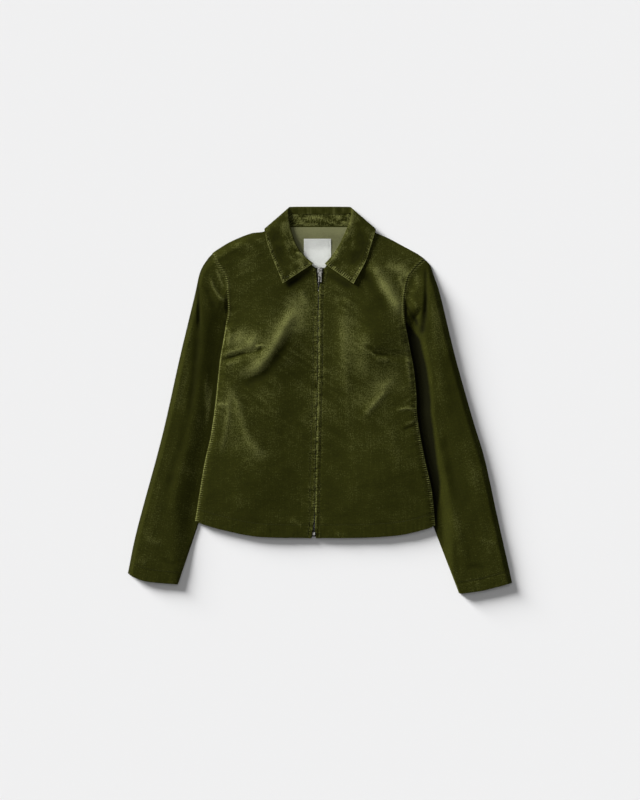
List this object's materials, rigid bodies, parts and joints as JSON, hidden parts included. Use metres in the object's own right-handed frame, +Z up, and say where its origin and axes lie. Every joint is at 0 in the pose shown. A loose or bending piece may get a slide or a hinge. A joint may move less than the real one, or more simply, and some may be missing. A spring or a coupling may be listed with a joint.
{
  "type": "corduroy jacket",
  "caption": "Short fitted corduroy jacket laid flat, with a pointed collar, a full-length front zip, bust darts and plain set-in sleeves.",
  "frame": {"origin": "middle of the jacket's outline seen from above, on the surface that it lies on", "axes": "+X towards the wearer's left, +Y from hem to collar, +Z up from the surface"},
  "size_m": [0.73, 0.7346, 0.0186],
  "materials": {
    "corduroy": "fine-wale cotton corduroy, dark olive, with a soft nap",
    "lining": "smooth plain-weave lining, sage",
    "label": "woven satin label, off-white, bare",
    "zip_tape": "herringbone zip tape, dark olive",
    "zip_metal": "aged nickel, satin"
  },
  "bodies": {
    "jacket": {"back": "corduroy", "front_left": "corduroy", "front_right": "corduroy", "sleeve_left": "corduroy", "sleeve_right": "corduroy", "collar_fall": "corduroy", "collar_stand": "corduroy", "back_neck_lining": "lining", "neck_label": "label", "zip_tape_left": "zip_tape", "zip_tape_right": "zip_tape", "zip_slider": "zip_metal", "zip_box": "zip_metal"},
    "zip_pull": {"zip_pull": "zip_metal"}
  },
  "joints": [
    {"name": "zip_pull_swing", "type": "hinge", "parent": "jacket", "child": "zip_pull", "pos_m": [-0.0003, 0.246, 0.0094], "axis": [-1, 0, 0], "range_deg": [0, 150]}
  ]
}
